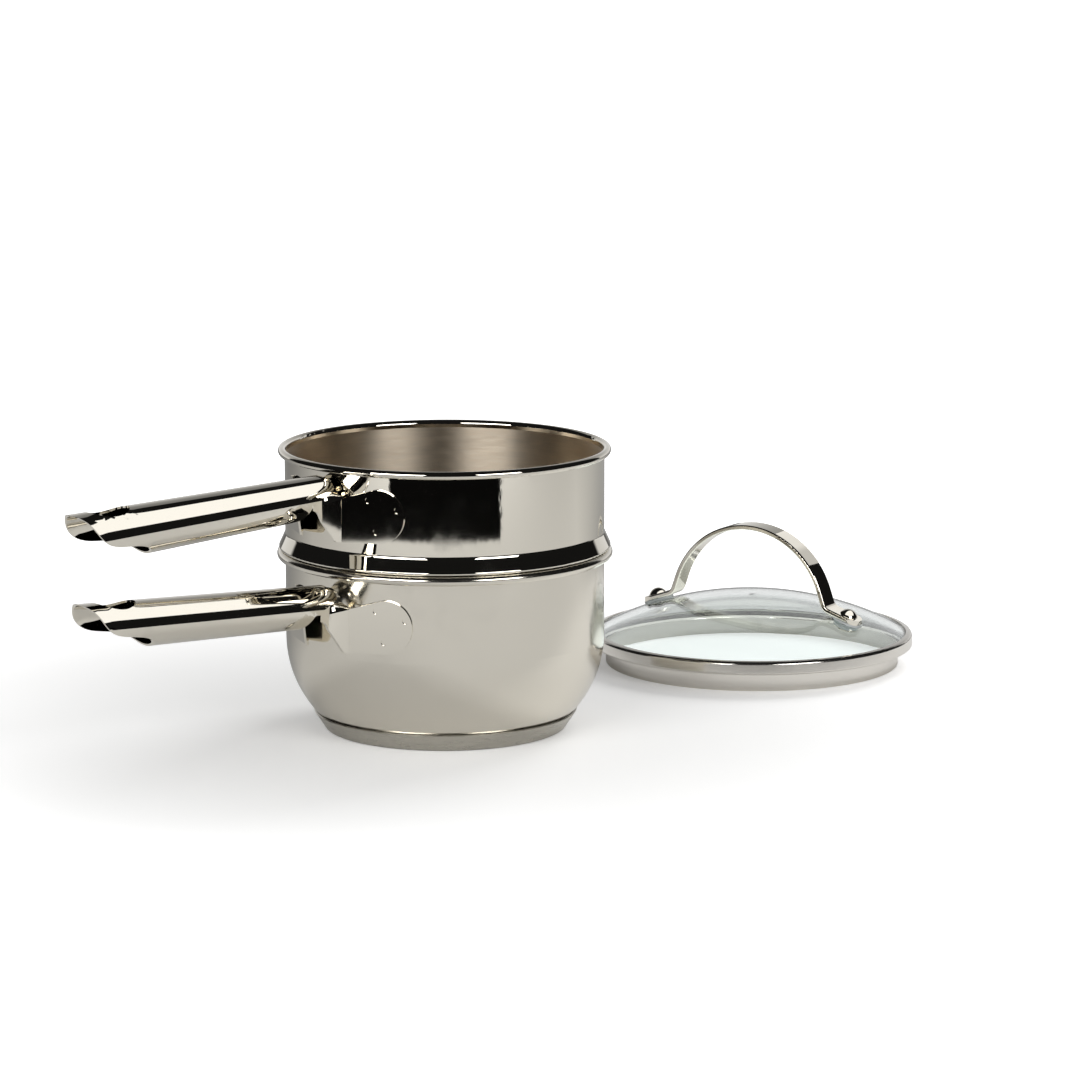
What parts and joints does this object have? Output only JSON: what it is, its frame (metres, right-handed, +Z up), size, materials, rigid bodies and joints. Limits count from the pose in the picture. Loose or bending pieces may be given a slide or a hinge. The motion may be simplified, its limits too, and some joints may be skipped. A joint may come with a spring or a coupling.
{
  "type": "double boiler",
  "caption": "Stainless steel double boiler: a lower pan with a thick capped base, a lift-out insert pan above it, tubular hanging handles, and a domed glass lid standing beside the pans.",
  "frame": {"origin": "centre of the lower pan's base, on the surface that it stands on", "axes": "+Z up along the axis of the pans; the lower pan's handle points along -X and the lid stands towards +X"},
  "size_m": [0.5642, 0.1899, 0.1442],
  "materials": {
    "satin_steel": "soft satin",
    "mirror_steel": "mirror outside, turned brush marks inside",
    "polished_steel": "mirror polished",
    "brushed_steel": "turned satin",
    "aluminium": "plain",
    "glass": "clear, slightly grey",
    "clear_silicone": "matt, milky"
  },
  "bodies": {
    "lower_pan": {"lower_pan_shell": "satin_steel", "base_cap": "brushed_steel", "base_heat_disc": "aluminium", "lower_handle_tube": "polished_steel", "lower_handle_bracket": "polished_steel"},
    "insert": {"insert_shell": "mirror_steel", "insert_handle_tube": "polished_steel", "insert_handle_bracket": "polished_steel"},
    "lid": {"lid_glass": "glass", "lid_rim_band": "brushed_steel", "lid_skirt": "brushed_steel", "lid_handle_strap": "polished_steel", "lid_rivet_front": "polished_steel", "lid_rivet_back": "polished_steel", "lid_foot_pad_front": "clear_silicone", "lid_foot_pad_back": "clear_silicone", "lid_grommet_front": "clear_silicone", "lid_grommet_back": "clear_silicone", "lid_backing_washer_front": "polished_steel", "lid_backing_washer_back": "polished_steel"}
  },
  "joints": [
    {"name": "insert_lift", "type": "slide", "parent": "lower_pan", "child": "insert", "axis": [0, 0, 1], "range_m": [0, 0.1]},
    {"name": "lid_lift", "type": "slide", "parent": "lower_pan", "child": "lid", "axis": [0, 0, 1], "range_m": [0, 0.16]}
  ]
}
